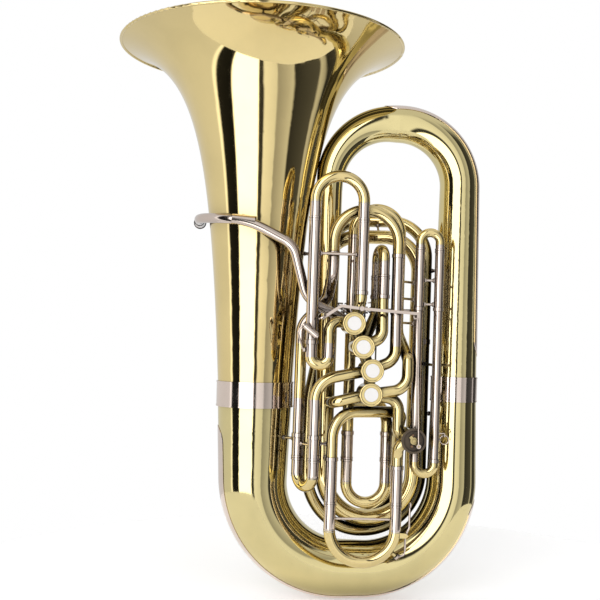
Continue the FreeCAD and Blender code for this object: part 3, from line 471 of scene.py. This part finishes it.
# ---- studio ------------------------------------------------------------------------------------
# Tall soft panels standing round the object, from straight behind it by its left side, its front and its
# right side: name, the angle where the panel ends, and its brightness at its first and last edge. Flags
# are unlit dark cards.
PANELS = (
    ("left_wall", -81, 0.72, 0.90), ("strip_light", -75, 1.6, 1.6), ("left_flag", -50, 0.02, 0.01),
    ("key_box", -7, 3.0, 3.0), ("lens_gap", 1.5, 0.05, 0.05), ("fill_box", 24, 1.2, 1.0),
    ("right_wall", 50, 0.45, 0.75), ("right_flag", 89, 0.04, 0.1), ("edge_light", 98, 0.7, 0.5),
    ("back_flag_right", 128, 0.03, 0.1), ("back_wall_right", 180, 0.6, 0.85),
)
PANEL_EDGE = 1.5             # half the angle, in degrees, over which one panel gives way to the next
BRIGHTEST = 3.2              # the level that white in the ramp stands for
CEILING = 0.8                # the brightness above the panels
PANEL_TOPS = (0.62, 0.85)    # the direction's upward part, where the panels give way to the ceiling


def fill_ramp(ramp):
    """Writes the panels into a colour ramp that runs once round the object."""
    ramp.interpolation = "LINEAR"
    ramp.elements[0].position = 0.0
    ramp.elements[1].position = 1.0
    stops = []
    start = -180.0
    for _, end, first, last in PANELS:
        stops += [(start + PANEL_EDGE, first), (end - PANEL_EDGE, last)]
        start = end
    for angle, _ in stops[1:-1]:
        ramp.elements.new((angle + 180.0) / 360.0)
    for element, (_, level) in zip(ramp.elements, stops):
        element.color = (*toned(WHITE, level / BRIGHTEST), 1.0)


def light_world():
    """Soft panels and flags round the object, under a pale ceiling; the camera itself sees plain white."""
    world = bpy.data.worlds.new("studio")
    world.use_nodes = True
    g = Graph(world.node_tree)
    x, y, z = g.split(g.add("ShaderNodeTexCoord").outputs["Generated"])
    turn = g.maths("ARCTAN2", x, g.maths("MULTIPLY", y, -1.0))
    panels = g.add("ShaderNodeValToRGB")
    fill_ramp(panels.color_ramp)
    g.link(g.maths("ADD", g.maths("MULTIPLY", turn, 0.5 / math.pi), 0.5), panels.inputs[0])
    sides = g.maths("MULTIPLY", panels.outputs[0], BRIGHTEST)
    light = g.fade(g.ranged(z, *PANEL_TOPS, 0.0, 1.0), sides, CEILING)
    seen = g.add("ShaderNodeLightPath").outputs["Is Camera Ray"]
    background = g.tree.nodes["Background"]
    g.link(g.fade(seen, light, 1.0), background.inputs["Strength"])
    g.feed(background.inputs["Color"], WHITE)
    bpy.context.scene.world = world


def lay_floor():
    """A pale floor just under the object."""
    mesh = bpy.data.meshes.new("floor")
    steps = 96
    angles = [i * math.tau / steps for i in range(steps)]
    ring = [(FLOOR_RADIUS * math.cos(angle), FLOOR_RADIUS * math.sin(angle), 0) for angle in angles]
    mesh.from_pydata(ring, [], [tuple(range(steps))])
    floor = bpy.data.objects.new("floor", mesh)
    floor.location.z = cad_bounds[0].z - FLOOR_GAP
    bpy.context.collection.objects.link(floor)
    g = Finish("pale_floor")
    cloud = g.ranged(g.noise(2.0), 0.3, 0.7, 0.0, 1.0)
    g.link(g.blend(cloud, (0.93, 0.93, 0.93), (0.90, 0.90, 0.905)), g.shader.inputs["Base Color"])
    set_sockets(g.shader, Roughness=0.9, Emission_Color=(*WHITE, 1.0), Emission_Strength=FLOOR_GLOW)
    mesh.materials.append(g.material)


def aim_camera():
    """A camera level with the valves, a little to the left, with the slight tilt of a hand-held view."""
    azimuth, elevation = math.radians(CAMERA_AZIMUTH), math.radians(CAMERA_ELEVATION)
    roll = math.radians(CAMERA_ROLL)
    back = Vector((math.sin(azimuth) * math.cos(elevation), -math.cos(azimuth) * math.cos(elevation),
                   math.sin(elevation)))
    right = Vector((math.cos(azimuth), math.sin(azimuth), 0.0))
    up = back.cross(right)
    side = right * math.cos(roll) + up * math.sin(roll)
    rise = up * math.cos(roll) - right * math.sin(roll)
    data = bpy.data.cameras.new("camera")
    data.sensor_width = CAMERA_SENSOR
    data.lens = CAMERA_LENS
    camera = bpy.data.objects.new("camera", data)
    bpy.context.collection.objects.link(camera)
    turn = Matrix((side, rise, back)).transposed().to_4x4()
    camera.matrix_world = Matrix.Translation(CAMERA_PLACE) @ turn
    bpy.context.scene.camera = camera


light_world()
lay_floor()
aim_camera()
bpy.context.scene.view_settings.view_transform = "Standard"
